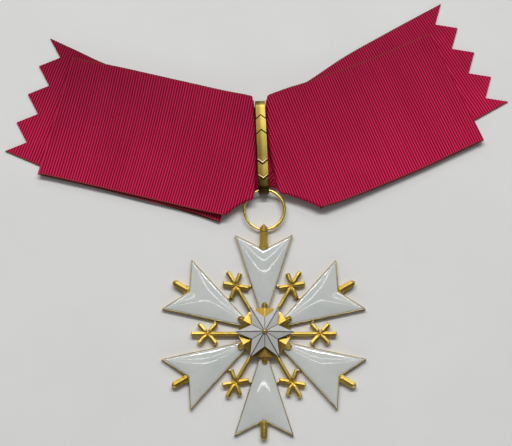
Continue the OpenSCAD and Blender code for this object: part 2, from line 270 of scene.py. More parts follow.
gold_loop_painted_shade = loop_material_painted_shade("gilt_loop", (0.54, 0.42, 0.105), (0.42, 0.315, 0.062), (0.42, 0.52))
# near-black gilt for the strips that paint shadow lines at the ends of the loop's plates
gold_painted_shadow_seam = gilt("gilt_painted_shadow_seam", (0.010, 0.007, 0.003), (0.006, 0.004, 0.002), (0.60, 0.72), tarnish=0.5, coat=0.0).mat
gold_lip = gilt("gilt_lip", (0.46, 0.36, 0.15), (0.36, 0.27, 0.09), (0.40, 0.48), tarnish=0.1, coat=0.1).mat


def enamel_material():
    t = Tree("white_enamel")
    co = t.coords()
    cloud = t.noise(95.0, 3.0, 0.5, co)
    speck = t.noise(1400.0, 3.0, 0.6, co)
    tone = t.math("ADD", t.math("MULTIPLY", cloud, 0.8), t.math("MULTIPLY", speck, 0.2))
    col = t.ramp(tone, [(0.32, (0.570, 0.595, 0.570)), (0.55, (0.635, 0.655, 0.625)), (0.75, (0.680, 0.695, 0.660))])
    t.link(col, t.bsdf.inputs["Base Color"])
    t.link(t.map(speck, 0.3, 0.7, 0.03, 0.07), t.bsdf.inputs["Roughness"])
    t.bsdf.inputs["IOR"].default_value = 1.52
    t.bsdf.inputs["Subsurface Weight"].default_value = 0.12
    t.bsdf.inputs["Subsurface Radius"].default_value = (0.0006, 0.0006, 0.0005)
    t.bsdf.inputs["Subsurface Scale"].default_value = 1.0
    wave = t.noise(230.0, 2.0, 0.5, co)
    t.link(t.bump(wave, 0.000006, 0.5), t.bsdf.inputs["Normal"])
    return t.mat


def star_material():
    t = Tree("star_enamel")
    co = t.coords()
    cloud = t.noise(260.0, 3.0, 0.5, co)
    grain = t.noise(3000.0, 3.0, 0.6, co)
    tone = t.math("ADD", t.math("MULTIPLY", cloud, 0.7), t.math("MULTIPLY", grain, 0.3))
    col = t.ramp(tone, [(0.32, (0.49, 0.485, 0.465)), (0.68, (0.585, 0.58, 0.56))])
    t.link(col, t.bsdf.inputs["Base Color"])
    t.link(t.map(grain, 0.3, 0.7, 0.24, 0.36), t.bsdf.inputs["Roughness"])
    t.bsdf.inputs["Metallic"].default_value = 0.0
    t.link(t.bump(grain, 0.000012, 0.6), t.bsdf.inputs["Normal"])
    return t.mat


def star_line_material():
    t = Tree("star_lines")
    co = t.coords()
    n = t.noise(900.0, 3.0, 0.6, co)
    t.link(t.ramp(n, [(0.35, (0.035, 0.032, 0.034)), (0.7, (0.10, 0.095, 0.095))]), t.bsdf.inputs["Base Color"])
    t.bsdf.inputs["Metallic"].default_value = 0.6
    t.link(t.map(n, 0.3, 0.7, 0.35, 0.55), t.bsdf.inputs["Roughness"])
    return t.mat


RIB = 0.80      # spacing of the ribs, mm


def ribbon_material():
    """Ribbed silk ribbon. The UV map holds the place on the flat ribbon in centimetres:
    U along its length, V across its width."""
    t = Tree("crimson_ribbon")
    uv = t.node("ShaderNodeUVMap", uv_map="flat_cm").outputs["UV"]
    sep = t.node("ShaderNodeSeparateXYZ")
    t.link(uv, sep.inputs[0])
    u, v = sep.outputs[0], sep.outputs[1]
    # slow wander of the ribs, so that they aren't ruled lines
    wander = t.noise(1.1, 2.0, 0.5, t.scaled(uv, (1.0, 0.35, 1.0)))
    phase = t.math("ADD", t.math("MULTIPLY", u, 10.0 / RIB), t.math("MULTIPLY", wander, 0.55))
    ang = t.math("MULTIPLY", phase, 2 * math.pi)
    wave = t.math("MULTIPLY_ADD", t.math("COSINE", ang), 0.5, 0.5)
    rib = t.math("POWER", wave, 0.75)
    # every rib is a little thicker or thinner, lighter or darker
    index = t.math("FLOOR", t.math("ADD", phase, 0.5))
    white = t.node("ShaderNodeTexWhiteNoise", noise_dimensions="1D")
    t.link(index, white.inputs["W"])
    vary = white.outputs["Value"]
    # warp threads cross the ribs
    warp = t.math("MULTIPLY_ADD", t.math("SINE", t.math("MULTIPLY", v, 2 * math.pi / 0.030)), 0.5, 0.5)
    fuzz = t.noise(60.0, 3.0, 0.65, t.scaled(uv, (2.6, 1.0, 1.0)))
    blotch = t.noise(0.55, 3.0, 0.5, uv)
    height = t.math("ADD", t.math("MULTIPLY", rib, 0.86), t.math("MULTIPLY", t.math("MULTIPLY", warp, rib), 0.10))
    height = t.math("ADD", height, t.math("MULTIPLY", fuzz, 0.05))
    # the ribs' colour carries painted shade in the grooves between them and a painted sheen, pinker and lighter, on
    # their tops
    tone = t.math("ADD", t.math("MULTIPLY", rib, 0.78), t.math("MULTIPLY", fuzz, 0.22))
    tone = t.math("ADD", tone, t.math("MULTIPLY_ADD", vary, 0.05, -0.025))
    col = t.ramp(tone, [(0.04, (0.170, 0.0, 0.0085)), (0.50, (0.350, 0.0020, 0.031)),
                        (0.98, (0.705, 0.0340, 0.132))])
    shade = t.map(blotch, 0.3, 0.7, 0.90, 1.06)
    # painted sheen and painted shade: the silk is lighter along its lower edge and on the right, and darker in the
    # upper left corner
    place = t.node("ShaderNodeSeparateXYZ")
    t.link(t.coords(), place.inputs[0])
    x = place.outputs[0]
    low = t.map(v, 0.1, 3.75, 0.87, 1.13)
    side = t.map(x, 0.005, 0.060, 1.0, 1.09)
    corner = t.math("MULTIPLY", t.map(x, -0.058, -0.028, 1.0, 0.0), t.map(v, 0.5, 3.0, 1.0, 0.0))
    shade = t.math("MULTIPLY", t.math("MULTIPLY", shade, low), side)
    shade = t.math("MULTIPLY", shade, t.math("MULTIPLY_ADD", corner, -0.24, 1.0))
    shaded = t.node("ShaderNodeVectorMath", operation="SCALE")
    t.link(col, shaded.inputs[0])
    t.link(shade, shaded.inputs["Scale"])
    # a thin tan line on both selvedges
    off = t.math("ABSOLUTE", t.math("SUBTRACT", v, 1.925))
    edge = t.map(off, 1.885, 1.912, 0.0, 0.75)
    col = t.mixrgb(edge, shaded.outputs[0], (0.16, 0.050, 0.022))
    t.link(col, t.bsdf.inputs["Base Color"])
    t.link(t.map(tone, 0.1, 0.9, 0.72, 0.52), t.bsdf.inputs["Roughness"])
    t.bsdf.inputs["Specular IOR Level"].default_value = 0.06
    t.bsdf.inputs["Sheen Weight"].default_value = 0.05
    t.bsdf.inputs["Sheen Roughness"].default_value = 0.4
    t.bsdf.inputs["Sheen Tint"].default_value = (1.0, 0.45, 0.55, 1)
    n1 = t.bump(height, 0.00016, 0.85)
    t.link(n1, t.bsdf.inputs["Normal"])
    return t.mat


def floor_material():
    t = Tree("floor")
    co = t.coords()
    n = t.noise(30.0, 4.0, 0.6, co)
    t.link(t.ramp(n, [(0.3, (0.80, 0.795, 0.785)), (0.7, (0.83, 0.825, 0.815))]), t.bsdf.inputs["Base Color"])
    t.bsdf.inputs["Roughness"].default_value = 0.85
    t.bsdf.inputs["Specular IOR Level"].default_value = 0.2
    return t.mat


white_enamel = enamel_material()
star_enamel = star_material()
star_lines = star_line_material()
crimson = ribbon_material()

# ---------------------------------------------------------------- sizes shared with the metal
TIP_REACH, TIP_HALF, NOTCH, APEX = 31.1, 9.0, 26.6, 3.1
PLATE_T, RIM_H, RIM_W, GAP = 1.0, 1.6, 0.21, 0.02
AST_REACH, AST_TIP, AST_SIDE, AST_ANG = 17.3, 5.1, 4.1, 49.0
SIDE_A = math.atan(TIP_HALF / (TIP_REACH - APEX))
NOTCH_A = math.atan((TIP_REACH - NOTCH) / TIP_HALF)
TS, TN = math.tan(SIDE_A), math.tan(NOTCH_A)
SS, CS, CN = math.sin(SIDE_A), math.cos(SIDE_A), math.cos(NOTCH_A)


def arm_outline(d, x0):
    ax = APEX + d / SS
    xi = max(x0 + d, ax + 0.12 / TS)
    nx = NOTCH - d / CN
    tx = (nx - TN * ax * TS) / (1 - TN * TS)
    ty = (tx - ax) * TS
    yi = (xi - ax) * TS
    return [(xi, -yi), (tx, -ty), (nx, 0.0), (tx, ty), (xi, yi)]


def turn(verts, deg):
    c, s = math.cos(deg * D2R), math.sin(deg * D2R)
    return [(x * c - y * s, x * s + y * c, z) for x, y, z in verts]


def add(store, verts, faces, slot=0):
    b = len(store[0])
    store[0].extend(verts)
    store[1].extend([tuple(b + i for i in f) for f in faces])
    store[2].extend([slot] * len(faces))


def loft(rings, close_ends=True):
    """Faces between rings of equal length."""
    n = len(rings[0])
    verts = [v for r in rings for v in r]
    faces = []
    for i in range(len(rings) - 1):
        for j in range(n):
            k = (j + 1) % n
            faces.append((i * n + j, i * n + k, (i + 1) * n + k, (i + 1) * n + j))
    if close_ends:
        faces.append(tuple(reversed(range(n))))
        faces.append(tuple((len(rings) - 1) * n + j for j in range(n)))
    return verts, faces


# ---------------------------------------------------------------- gilt cross
def tray():
    """A tray for the enamel of one arm, along +X: floor, thin rim, flat back."""
    outer, inner = arm_outline(0, 4.8), arm_outline(RIM_W, 4.8)
    rings = [[(x, y, 0.0) for x, y in outer], [(x, y, RIM_H) for x, y in outer],
             [(x, y, RIM_H) for x, y in inner], [(x, y, PLATE_T - 0.02) for x, y in inner]]
    return loft(rings)


def bar(stations, z0):
    """A ridged bar along +X. Each station is x, half width, height of the sides, height of the ridge."""
    rings = []
    for x, h, zs, zr in stations:
        rings.append([(x, -h, z0), (x, h, z0), (x, h, zs), (x, 0.0, zr), (x, -h, zs)])
    return loft(rings)


def asterisk_bar(length, reach_in=0.0):
    h = 0.73
    return bar([(-0.20 - reach_in, 0.10, 1.30, 1.50), (0.50, 0.30, 1.56, 1.80), (1.25, h, 1.72, 2.04),
                (length - 0.24, h, 1.74, 2.06), (length, h - 0.07, 1.52, 1.78)], 0.5)


store = ([], [], [])
for k in range(6):
    v, f = tray()
    add(store, turn(v, 30 + 60 * k), f, 1)
for k in range(6):
    a = 60 * k
    # ray from the boss to the asterisk
    v, f = bar([(6.2, 0.62, 1.70, 2.02), (AST_REACH - 1.35, 0.64, 1.72, 2.04),
                (AST_REACH - 0.6, 0.32, 1.56, 1.80), (AST_REACH + 0.2, 0.10, 1.30, 1.50)], 0.5)
    add(store, turn(v, a), f, 0)
    for ang, length in ((0, AST_TIP), (AST_ANG, AST_SIDE), (-AST_ANG, AST_SIDE),
                        (180 - AST_ANG, AST_SIDE), (AST_ANG - 180, AST_SIDE)):
        v, f = asterisk_bar(length)
        v = [(x + AST_REACH, y, z) for x, y, z in turn(v, ang)]
        add(store, turn(v, a), f, 0)
    # low web under the middle of the asterisk
    ring = lambda r, z: [(AST_REACH + r * math.cos(i * math.pi / 8), r * math.sin(i * math.pi / 8), z) for i in range(16)]
    v, f = loft([ring(0.80, 0.5), ring(0.80, 1.2), ring(0.5, 1.38)])
    add(store, turn(v, a), f, 0)
    # solder stubs against the rims of the two neighbouring arms
    for s in (1, -1):
        cx, cy = AST_REACH - 2.65, s * 3.05
        st = [[(x, y, z) for x, y in ((-0.1, -0.26), (1.40, -0.26), (1.40, 0.26), (-0.1, 0.26))] for z in (0.3, 0.98)]
        v, f = loft(st)
        v = [(x + cx, y + cy, z) for x, y, z in turn(v, s * 60)]
        add(store, turn(v, a), f, 1)


def notch_piece(reach, w, z0, zs, zr):
    h = w / 2
    body = bar([(NOTCH + 0.35, h, zs, zr), (reach - 0.95, h, zs, zr), (reach - 0.25, h * 0.42, zs - 0.05, zr - 0.25),
                (reach, 0.12, zs - 0.2, zs + 0.1)], z0)
    collar = bar([(NOTCH - 0.28, 0.35, 1.45, 1.75), (NOTCH + 0.28, 1.22, 1.50, 2.30), (NOTCH + 0.85, 1.32, 1.50, 2.38),
                  (NOTCH + 1.55, h + 0.06, zs + 0.05, zr + 0.08)], z0)
    return body, collar


for k in (0, 2, 3, 4, 5):
    for v, f in notch_piece(32.5, 2.06, 0.4, 1.86, 2.36):
        add(store, turn(v, 30 + 60 * k), f, 0)
# hub between the arms
circle = lambda r, z, n=96: [(r * math.cos(2 * math.pi * i / n), r * math.sin(2 * math.pi * i / n), z) for i in range(n)]
v, f = loft([circle(7.2, 0.0), circle(7.2, 0.9)])
add(store, v, f, 2)
cross = new_object("cross_gilt", *store[:2], [gold_bars, gold_rim, gold_back], slots=store[2])
outward(cross)
bevel(cross, 0.07, 2, 14)
apply_modifiers(cross)
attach(cross, "root")
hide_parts("cross_frame")


# suspension lug with its sideways hole, so that the ring passes through it
LUG_Y, RING_Z, RING_R, WIRE = 38.95 - 6.25, 1.6, 6.25, 0.95


def lug():
    """Ridged bar along +Y whose top end holds a round hole along X, built from slices across X."""
    hole_r, n = WIRE / 2 + 0.2, 24
    w = 1.15
    y_lo, y_sh, y_top = NOTCH + 0.4, 33.35, 34.3
    xs = [-w, -w * 0.5, 0.0, w * 0.5, w]
    rings_out, rings_in = [], []
    for x in xs:
        q = 1 - abs(x) / w
        top = mix(2.62, 3.08, q)
        end = mix(y_sh, y_top, q ** 0.9)
        out = []
        # outline in the YZ plane: n points around, matched to the hole's points by angle
        for i in range(n):
            a = 2 * math.pi * i / n + math.pi / n
            dy, dz = math.cos(a), math.sin(a)
            lim = []
            if dy > 1e-6:
                lim.append((end - LUG_Y) / dy)
            if dy < -1e-6:
                lim.append((LUG_Y - 31.6) / -dy)
            if dz > 1e-6:
                lim.append((top - RING_Z) / dz)
            if dz < -1e-6:
                lim.append((RING_Z - 0.12) / -dz)
            r = min(lim)
            y, z = LUG_Y + dy * r, RING_Z + dz * r
            # soften the far top corner
            if y > LUG_Y and z > top - 0.35:
                z -= 0.30 * smoothstep(end - 0.55, end, y)
            out.append((x, y, z))
        rings_out.append(out)
        rings_in.append([(x, LUG_Y + hole_r * math.cos(2 * math.pi * i / n + math.pi / n),
                          RING_Z + hole_r * math.sin(2 * math.pi * i / n + math.pi / n)) for i in range(n)])
    verts, faces = [], []
    m = len(xs)
    for r in rings_out + rings_in:
        verts += r
    for i in range(m - 1):
        for j in range(n):
            k = (j + 1) % n
            faces.append((i * n + j, i * n + k, (i + 1) * n + k, (i + 1) * n + j))
            b = m * n
            faces.append((b + i * n + k, b + i * n + j, b + (i + 1) * n + j, b + (i + 1) * n + k))
    for j in range(n):
        k = (j + 1) % n
        faces.append((j, m * n + j, m * n + k, k))
        a, b = (m - 1) * n, m * n + (m - 1) * n
        faces.append((a + j, a + k, b + k, b + j))
    return verts, faces


store = ([], [], [])
v, f = lug()
add(store, v, f, 0)
v, f = bar([(NOTCH + 0.35, 1.20, 2.62, 3.08), (31.62, 1.20, 2.62, 3.08)], 0.12)
add(store, turn(v, 90), f, 0)
v, f = bar([(NOTCH - 0.28, 0.35, 1.50, 1.80), (NOTCH + 0.28, 1.32, 1.70, 2.75), (NOTCH + 0.85, 1.42, 1.75, 2.95),
            (NOTCH + 1.45, 1.18, 2.64, 3.10)], 0.12)
add(store, turn(v, 90), f, 0)
lug_ob = new_object("suspension_lug", *store[:2], [gold_bars], slots=store[2])
outward(lug_ob)
bevel(lug_ob, 0.07, 2, 14)
apply_modifiers(lug_ob)
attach(lug_ob, "root")


# ---------------------------------------------------------------- enamel of the arms
def dome_height(x, y, inset):
    """Height of the enamel: a rolled edge, then a low dome that blends smoothly between the three edges."""
    ax = APEX + inset / SS
    nx = NOTCH - inset / CN
    d1, d2 = ((x - ax) * TS - y) * CS, ((x - ax) * TS + y) * CS
    if abs(y) < (nx - x) * TN:
        dn = math.hypot(nx - x, y)
    else:
        dn = (nx + abs(y) * TN - x) * CN
    d1, d2, dn = (max(d, 1e-5) for d in (d1, d2, dn))
    near = (d1 ** -4 + d2 ** -4 + dn ** -4) ** -0.25
    side = (d1 ** -0.786 + d2 ** -0.786) ** (-1 / 0.786)
    d = (side ** -0.685 + dn ** -0.685) ** (-1 / 0.685)
    return 1.45 + 0.22 * (1 - math.exp(-near / 0.17)) + 0.234 * d + 0.15 * d * d + 0.0667 * d ** 3


def enamel_arm(k):
    inset = RIM_W + 0.01
    ax = APEX + inset / SS
    nx = NOTCH - inset / CN
    na, nb = 90, 30
    x0 = 5.6
    aa = []
    for i in range(na + 1):
        s = i / na
        aa.append(s if s < 0.5 else 0.5 + 0.5 * math.sin((s - 0.5) * math.pi) ** 0.9)
    bb = [math.sin(j / nb * math.pi / 2) for j in range(-nb, nb + 1)]
    rows = []
    for a in aa:
        row = []
        for b in bb:
            tb = abs(b) * TS * TN
            xo = (nx - tb * ax) / (1 - tb)
            x = x0 + (xo - x0) * a
            y = b * (x - ax) * TS
            row.append((x, y, dome_height(x, y, inset)))
        rows.append(row)
    n = len(bb)
    verts = [p for r in rows for p in r]
    faces = [(i * n + j, (i + 1) * n + j, (i + 1) * n + j + 1, i * n + j + 1) for i in range(na) for j in range(n - 1)]
    # skirt down to the tray's floor
    rim = [j for j in range(n)] + [i * n + n - 1 for i in range(1, na + 1)] + \
          [na * n + j for j in range(n - 2, -1, -1)] + [i * n for i in range(na - 1, 0, -1)]
    b = len(verts)
    verts += [(verts[i][0], verts[i][1], PLATE_T) for i in rim]
    m = len(rim)
    faces += [(rim[i], rim[(i + 1) % m], b + (i + 1) % m, b + i) for i in range(m)]
    faces.append(tuple(b + i for i in reversed(range(m))))
    ob = new_object("enamel_inlay_%d" % k, turn(verts, 90 - 60 * (k - 1)), faces, [white_enamel], smooth=True)
    outward(ob)
    smooth_by_angle(ob, 50)
    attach(ob, "root")
    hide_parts("enamel_arm_%d" % k)
    return ob


for k in range(1, 7):
    enamel_arm(k)

# ---------------------------------------------------------------- boss
# The boss, the star and the pin sit a little off the middle of the cross.
CENTRE = (0.25, 0.20)


def centred(verts):
    return [(x + CENTRE[0], y + CENTRE[1], z) for x, y, z in verts]


store = ([], [], [])
AP = 7.5
rim = []
for k in range(6):
    for q in ((AP, -3.0, 30, 2.50), (AP + 0.06, 0.0, 30, 3.52), (AP, 3.0, 30, 2.50), (7.75, 0.0, 60, 2.46)):
        a = (q[2] + 60 * k) * D2R
        rim.append((q[0] * math.cos(a) - q[1] * math.sin(a), q[0] * math.sin(a) + q[1] * math.cos(a), q[3]))
n = len(rim)
verts = [(0, 0, 3.98)] + rim + [(x, y, 2.27) for x, y, z in rim]
faces = []
for k in range(n):
    m = (k + 1) % n
    faces.append((0, 1 + k, 1 + m))
    faces.append((1 + k, 1 + n + k, 1 + n + m, 1 + m))
faces.append(tuple(1 + n + k for k in reversed(range(n))))
add(store, centred(verts), faces, 0)
for k in range(6):
    # nub: the petal's ridge runs on into a bar with a round end
    rings = []
    for x, h, z in ((5.6, 0.94, 3.34), (8.35, 0.94, 3.26), (8.80, 0.90, 3.22), (9.12, 0.76, 3.14), (9.35, 0.52, 3.00), (9.47, 0.22, 2.84)):
        drop = 0.66 * min(1.0, h / 0.94 + 0.15)
        rings.append([(x, -h, 2.28), (x, h, 2.28), (x, h, z - drop), (x, 0, z), (x, -h, z - drop)])
    v, f = loft(rings)
    add(store, centred(turn(v, 30 + 60 * k)), f, 0)
v, f = loft([circle(3.6, 0.92, 64), circle(3.6, 2.6, 64)])
add(store, centred(v), f, 0)
boss = new_object("boss_gilt", *store[:2], [gold_boss], slots=store[2])
outward(boss)
bevel(boss, 0.06, 3, 10)
apply_modifiers(boss)
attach(boss, "root")
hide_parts("centre_boss")

# ---------------------------------------------------------------- white star
STAR_OUT, STAR_IN, STAR_TOP = 9.1, 4.5, 6.2


def star_point(j):
    a = 30 * j * D2R
    if j % 2 == 0:
        return Vector((STAR_OUT * math.cos(a), STAR_OUT * math.sin(a), 4.4))
    return Vector((STAR_IN * math.cos(a), STAR_IN * math.sin(a), 4.72))


# dark core star, a little lower, whose metal shows as thin lines between the facets
store = ([], [], [])
apex = Vector((0, 0, STAR_TOP))
pts = [star_point(j) for j in range(12)]
low = [(p.x, p.y, 4.03) for p in pts]
core = [(0, 0, STAR_TOP - 0.07)] + [(p.x, p.y, p.z - 0.07) for p in pts] + low
faces = []
for j in range(12):
    n = (j + 1) % 12
    faces.append((0, 1 + j, 1 + n))
    faces.append((1 + j, 13 + j, 13 + n, 1 + n))
faces.append(tuple(13 + j for j in reversed(range(12))))
add(store, core, faces, 1)
# twelve facets, each a thin slab of enamel drawn in from its neighbours
for j in range(12):
    n = (j + 1) % 12
    tri = [apex, pts[j], pts[n]]
    nrm = (tri[1] - tri[0]).cross(tri[2] - tri[0]).normalized()
    if nrm.z < 0:
        nrm = -nrm
    # inset each edge: the two lines to the apex, and the outer edge
    ins = (0.165, 0.05, 0.085) if j % 2 == 0 else (0.085, 0.05, 0.165)   # ridges wide, valleys narrow
    c = (tri[0] + tri[1] + tri[2]) / 3
    lines = []
    for a, b, d in ((tri[0], tri[1], ins[0]), (tri[1], tri[2], ins[1]), (tri[2], tri[0], ins[2])):
        e = (b - a).normalized()
        inn = nrm.cross(e)
        if inn.dot(c - a) < 0:
            inn = -inn
        lines.append((a + inn * d, e))

    def meet(l1, l2):
        (p1, e1), (p2, e2) = l1, l2
        w = p2 - p1
        cr = e1.cross(e2)
        s = w.cross(e2).dot(cr) / cr.length_squared
        return p1 + e1 * s
    q = [meet(lines[2], lines[0]), meet(lines[0], lines[1]), meet(lines[1], lines[2])]
    # the inset triangle becomes a slab, a little above the facet and further below it
    up = [tuple(p + nrm * 0.035) for p in q]
    dn = [tuple(p - nrm * 0.16) for p in q]
    add(store, up + dn, [(0, 1, 2), (5, 4, 3), (0, 3, 4, 1), (1, 4, 5, 2), (2, 5, 3, 0)], 0)
star = new_object("star_white", centred(store[0]), store[1], [star_enamel, star_lines], slots=store[2])
outward(star)
bevel(star, 0.035, 2, 30)
apply_modifiers(star)
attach(star, "root")
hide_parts("centre_star")

# pin head: a small bead on a collar
profile = [(0.0, 0.1), (0.40, 0.1), (0.40, 6.16), (0.66, 6.18), (0.70, 6.28), (0.60, 6.36)]
for i in range(9):
    a = (-30 + 120 * i / 8) * D2R
    profile.append((0.60 * math.cos(a), 6.66 + 0.56 * math.sin(a)))
profile.append((0.0, 7.22))
n = 32
verts, faces = [], []
for r, z in profile:
    verts += [(r * math.cos(2 * math.pi * i / n), r * math.sin(2 * math.pi * i / n), z) for i in range(n)] if r > 0 else [(0, 0, z)]
idx, starts = 0, []
for r, z in profile:
    starts.append(idx)
    idx += n if r > 0 else 1
for a in range(len(profile) - 1):
    ra, rb = profile[a][0], profile[a + 1][0]
    for i in range(n):
        k = (i + 1) % n
        if ra == 0:
            faces.append((starts[a], starts[a + 1] + k, starts[a + 1] + i))
        elif rb == 0:
            faces.append((starts[a] + i, starts[a] + k, starts[a + 1]))
        else:
            faces.append((starts[a] + i, starts[a] + k, starts[a + 1] + k, starts[a + 1] + i))
pin = new_object("pin_head", centred(verts), faces, [gold_boss], smooth=True)
outward(pin)
smooth_by_angle(pin, 40)
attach(pin, "root")
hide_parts("centre_pin")

# ---------------------------------------------------------------- jump ring
TILT = 3.7 * D2R
N1, N2 = 128, 20
verts, faces = [], []
for i in range(N1):
    a = 2 * math.pi * i / N1
    # the wire is thickest on the right and thinner at the top and bottom
    side = math.cos(a)
    wr = 0.39 + 0.16 * smoothstep(-0.1, 0.9, side) + 0.02 * smoothstep(0.2, 1.0, -side)
    for j in range(N2):
        b = 2 * math.pi * j / N2
        r = RING_R + wr * math.cos(b)
        x, y, z = r * math.cos(a), RING_R + r * math.sin(a), wr * math.sin(b)
        y, z = y * math.cos(TILT) - z * math.sin(TILT), y * math.sin(TILT) + z * math.cos(TILT)
        verts.append((x + 0.15, y + LUG_Y, z + RING_Z))
for i in range(N1):
    for j in range(N2):
        i2, j2 = (i + 1) % N1, (j + 1) % N2
        faces.append((i * N2 + j, i2 * N2 + j, i2 * N2 + j2, i * N2 + j2))
ring_ob = new_object("ring_gilt", verts, faces, [gold_ring], smooth=True)
outward(ring_ob)
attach(ring_ob, "root")
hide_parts("jump_ring")

# ---------------------------------------------------------------- suspension loop
LOOP_LEN, LOOP_W, LOOP_H, LOOP_T = 30.5, 3.2, 5.2, 0.9
LOOP_X, LOOP_Y, LOOP_TURN = -0.55, 58.7, 2.4


def place_loop(verts):
    return [(x + LOOP_X, y + LOOP_Y, z) for x, y, z in turn(verts, LOOP_TURN)]


store = ([], [], [])
# band: a rounded oblong path with a slightly crowned strip
r_out = LOOP_H / 2
path = []
half = LOOP_LEN / 2 - r_out
NS = 40
for i in range(NS + 1):
    a = (-90 + 180 * i / NS) * D2R
    path.append((half + r_out * math.cos(a), r_out * math.sin(a), math.cos(a), math.sin(a)))
for i in range(1, 14):
    path.append((half - 2 * half * i / 14, r_out, 0.0, 1.0))
for i in range(NS + 1):
    a = (90 + 180 * i / NS) * D2R
    path.append((-half + (r_out - 0.28 * smoothstep(0, 0.8, -math.cos(a))) * math.cos(a), r_out * math.sin(a), math.cos(a), math.sin(a)))
for i in range(1, 14):
    path.append((-half + 2 * half * i / 14, -r_out, 0.0, -1.0))
w = LOOP_W / 2
section = [(-w, -0.16), (-w + 0.16, -0.02), (-w * 0.45, 0.0), (0.0, 0.01), (w * 0.45, 0.0), (w - 0.16, -0.02), (w, -0.16),
           (w, -LOOP_T + 0.14), (w - 0.14, -LOOP_T), (-w + 0.14, -LOOP_T), (-w, -LOOP_T + 0.14)]
verts, faces = [], []
for y, z, ny, nz in path:
    thin = 1 - 0.30 * smoothstep(half * 0.8, half, -y)
    for sx, so in section:
        verts.append((sx, y + ny * so * thin, z + nz * so * thin + LOOP_H / 2))
n, m = len(section), len(path)
for i in range(m):
    for j in range(n):
        i2, j2 = (i + 1) % m, (j + 1) % n
        faces.append((i * n + j, i2 * n + j, i2 * n + j2, i * n + j2))
add(store, place_loop(verts), faces, 0)
loop_ob = new_object("loop_band", *store[:2], [gold_loop_painted_shade], smooth=True)
outward(loop_ob)
smooth_by_angle(loop_ob, 38)
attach(loop_ob, "root")
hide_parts("suspension_loop")


def plate(name, length, z0, left, ridge, right, lip=False, soft=0.0, metal=None):
    """Raised plate with pointed ends and a ridge, lying along Y. A small lip may run along its lower end."""
    w, e = (LOOP_W - 0.06) / 2, length / 2 - 1.3
    # lines across the plate, from the lower end: distance in, height from the plate's own surface
    rows = [(0.0, None), (0.0, -0.16), (0.07, -0.04), (0.50, -0.120), (0.57, 0.0)] if lip else [(0.0, None), (0.0, 0.0)]
    verts, n = [], 0
    for inn, dz in rows:
        for x, top in ((-w, left), (0.0, ridge), (w, right)):
            verts.append((x, (-length / 2 if x == 0 else -e) + inn, z0 if dz is None else top + dz))
    for dz in (0.0, None):
        for x, top in ((-w, left), (0.0, ridge), (w, right)):
            verts.append((x, length / 2 if x == 0 else e, z0 if dz is None else top))
    m = len(verts) // 3
    faces = [(3 * i + j, 3 * i + j + 1, 3 * i + j + 4, 3 * i + j + 3) for i in range(m - 1) for j in range(2)]
    faces += [((m - 1) * 3 + j, (m - 1) * 3 + j + 1, j + 1, j) for j in range(2)]
    faces += [tuple(3 * i for i in range(m)), tuple(3 * i + 2 for i in reversed(range(m)))]
    verts = [(x, y - 0.4, z) for x, y, z in verts]
    slots = [1 if lip and i in (4, 5) else 0 for i in range(len(faces))]
    ob = new_object(name, place_loop(verts), faces, [metal or gold_loop_painted_shade] + ([gold_lip] if lip else []), slots=slots)
    outward(ob)
    if soft:
        bevel(ob, soft, 2, 12)
        apply_modifiers(ob)
    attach(ob, "root")
    return ob


# a dark strip a little longer than each plate lies just under it and shows beyond both of its ends as a painted shadow
# line
plate("loop_painted_shadow_seam_long", 20.4 + 1.04, LOOP_H - 0.3, LOOP_H + 0.03, LOOP_H + 0.035, LOOP_H + 0.03, metal=gold_painted_shadow_seam)
plate("loop_plate_long", 20.4, LOOP_H - 0.3, LOOP_H + 0.18, LOOP_H + 0.36, LOOP_H + 0.24, True, 0.035)
plate("loop_painted_shadow_seam_short", 10.6 + 1.04, LOOP_H - 0.2, LOOP_H + 0.20, LOOP_H + 0.38, LOOP_H + 0.26, metal=gold_painted_shadow_seam)
plate("loop_plate_short", 10.6, LOOP_H - 0.2, LOOP_H + 0.42, LOOP_H + 0.60, LOOP_H + 0.48, True, 0.035)

# ---------------------------------------------------------------- ribbon
WIDTH = 38.5
Z_REAR, Z_MID, Z_FRONT = 0.30, 1.15, 2.05
CLOTH = 0.42
TOOTH = 5.4

# A line across the ribbon: x, y of the upper edge, x, y of the lower edge, height, bow of the ribs.
# Left side, from the loop outwards; the first rows lie past the edge where the cloth dives to the loop.
L_FRONT = [
    ( 9.0, 72.5,   0.2, 34.6, 3.40, 0.2),
    ( 3.5, 73.8,  -5.5, 35.7, 3.40, 0.3),
    (-3.6, 75.4, -12.5, 37.0, 3.35, 0.4),
    (-6.5, 76.1, -15.5, 37.6, 3.15, 0.4),
    (-13.8, 77.8, -23.1, 39.4, 2.45, 0.4),
    (-29.6, 81.6, -38.7, 43.2, 2.05, 0.5),
    (-46.5, 85.5, -55.4, 47.1, 2.05, 0.4),
    (-58.5, 88.0, -68.0, 50.0, 2.05, 0.2)]
L_OUTER = (-60.3, 88.4, -70.2, 50.3)
L_MID = [
    (-46.5, 85.0, -55.6, 46.9, 1.15, 0.0),
    (-29.6, 80.7, -39.0, 42.6, 1.15, 0.0),
    (-13.8, 76.6, -23.1, 38.6, 1.15, 0.0)]
L_INNER = (-5.4, 74.0, -14.2, 35.4)
L_REAR = [
    (-13.8, 76.2, -24.5, 38.7, 0.30, 0.0),
    (-30.0, 80.2, -41.0, 43.6, 0.30, 0.0),
    (-48.6, 86.2, -59.8, 49.0, 0.30, 0.0),
    (-60.2, 91.6, -73.6, 54.8, 0.30, 0.0)]
L_END = (-68.3, 95.45, -81.5, 58.2, 0.30, 0.0)

